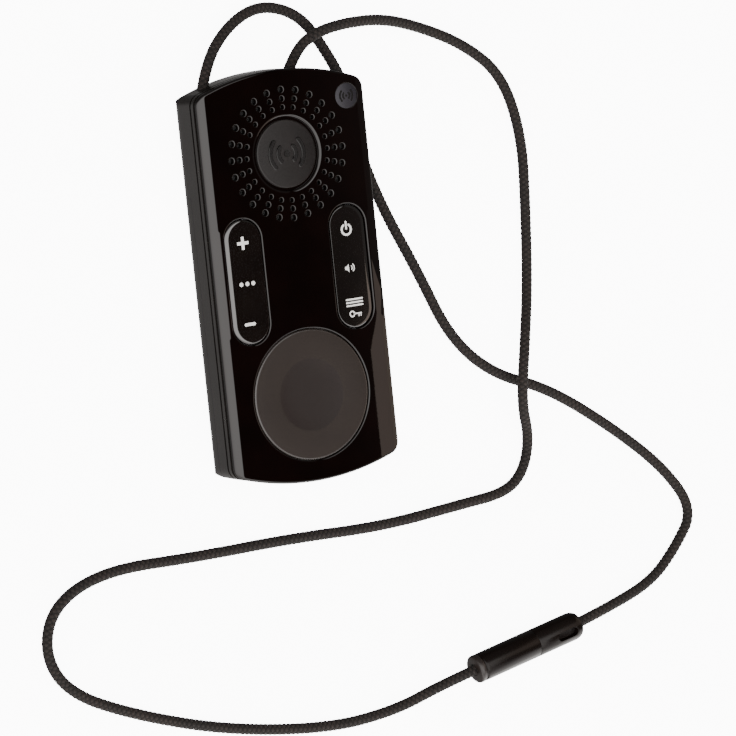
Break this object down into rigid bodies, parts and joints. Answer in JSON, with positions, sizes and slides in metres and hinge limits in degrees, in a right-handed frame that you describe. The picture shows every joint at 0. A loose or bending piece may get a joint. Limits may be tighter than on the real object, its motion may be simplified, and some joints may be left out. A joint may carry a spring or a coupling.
{
  "type": "pendant two-way radio",
  "caption": "Slim pendant two-way radio with a round talk button, rocking key bars, speaker grille and a neck lanyard with a breakaway clasp.",
  "frame": {"origin": "centre of the back face's outline, on the surface that the radio lies on", "axes": "+X to the right of the face, +Y towards the speaker and lanyard end, +Z out of the face"},
  "size_m": [0.1802, 0.1708, 0.0128],
  "materials": {
    "panel_gloss": "piano-black gloss",
    "housing_black": "fine satin",
    "band_satin": "satin with a bright edge",
    "case_side": "semi-gloss moulded",
    "badge_satin": "satin",
    "emblem_blue": "satin",
    "talk_soft": "soft-touch matte",
    "key_gloss": "gloss with white printed signs",
    "silicone": "matte",
    "spring_steel": "satin",
    "tinned_steel": "satin",
    "board_green": "solder mask",
    "chip_black": "matte",
    "magnet_dark": "satin",
    "cone_film": "film",
    "cloth_black": "woven",
    "display_glass": "dark glass",
    "contact_gold": "plated",
    "plug_rubber": "matte",
    "battery_wrap": "film wrap",
    "cord_fitting": "crimped",
    "clasp_plastic": "gloss",
    "cord_braid": "fine round braid"
  },
  "bodies": {
    "case": {"front_panel": "panel_gloss", "front_housing": "housing_black", "trim_band": "band_satin", "rear_housing": "case_side", "badge_disc": "badge_satin", "emblem_disc": "emblem_blue", "talk_return_dome": "silicone", "talk_switch": "spring_steel", "left_keymat": "silicone", "right_keymat": "silicone", "key_domes": "spring_steel", "main_board": "board_green", "shield_can": "tinned_steel", "processor_chip": "chip_black", "speaker_basket": "tinned_steel", "speaker_magnet": "magnet_dark", "speaker_cone": "cone_film", "speaker_gasket": "silicone", "speaker_cloth": "cloth_black", "display_module": "display_glass", "microphone": "tinned_steel", "microphone_boot": "silicone", "vibration_motor": "tinned_steel", "antenna_carrier": "housing_black", "antenna": "contact_gold", "usb_socket": "tinned_steel", "battery_pack": "battery_wrap", "battery_contacts": "contact_gold", "case_screws": "spring_steel", "left_cord_stop": "cord_fitting", "right_cord_stop": "cord_fitting", "clasp_collar": "clasp_plastic", "clasp_socket": "clasp_plastic", "clasp_cord_stop": "cord_fitting", "left_lanyard_cord": "cord_braid", "right_lanyard_cord": "cord_braid"},
    "talk_button": {"talk_button": "talk_soft"},
    "left_key_boss": {"left_key_boss": "silicone"},
    "left_key_bar": {"left_key_bar": "key_gloss"},
    "right_key_boss": {"right_key_boss": "silicone"},
    "right_key_bar": {"right_key_bar": "key_gloss"},
    "battery_door": {"battery_door": "case_side"},
    "port_plug": {"port_plug": "plug_rubber"},
    "clasp_plug": {"clasp_plug": "clasp_plastic"},
    "motor_weight": {"motor_weight": "tinned_steel"}
  },
  "joints": [
    {"name": "talk_press", "type": "slide", "parent": "case", "child": "talk_button", "axis": [0, 0, -1], "range_m": [0, 0.0008], "stiffness_N_per_m": 2500, "springref_m": -0.0004, "deforming": ["talk_return_dome"]},
    {"name": "left_key_press", "type": "slide", "parent": "case", "child": "left_key_boss", "axis": [0, 0, -1], "range_m": [0, 0.0005], "stiffness_N_per_m": 2000, "springref_m": -0.0003},
    {"name": "left_key_rock", "type": "hinge", "parent": "left_key_boss", "child": "left_key_bar", "pos_m": [-0.0139, 0, 0.0112], "axis": [1, 0, 0], "range_deg": [-2, 2], "stiffness_Nm_per_rad": 0.5},
    {"name": "right_key_press", "type": "slide", "parent": "case", "child": "right_key_boss", "axis": [0, 0, -1], "range_m": [0, 0.0005], "stiffness_N_per_m": 2000, "springref_m": -0.0003},
    {"name": "right_key_rock", "type": "hinge", "parent": "right_key_boss", "child": "right_key_bar", "pos_m": [0.0139, 0, 0.0112], "axis": [1, 0, 0], "range_deg": [-2, 2], "stiffness_Nm_per_rad": 0.5},
    {"name": "door_slide", "type": "slide", "parent": "case", "child": "battery_door", "axis": [0, -1, 0], "range_m": [0, 0.01]},
    {"name": "plug_pull", "type": "slide", "parent": "case", "child": "port_plug", "axis": [0.2504, 0.9681, 0], "range_m": [0, 0.004]},
    {"name": "clasp_release", "type": "slide", "parent": "case", "child": "clasp_plug", "axis": [0.9816, 0.1908, 0], "range_m": [0, 0.006]},
    {"name": "motor_spin", "type": "hinge", "parent": "case", "child": "motor_weight", "pos_m": [-0.006, 0.0372, 0.0042], "axis": [1, 0, 0], "continuous": true}
  ]
}
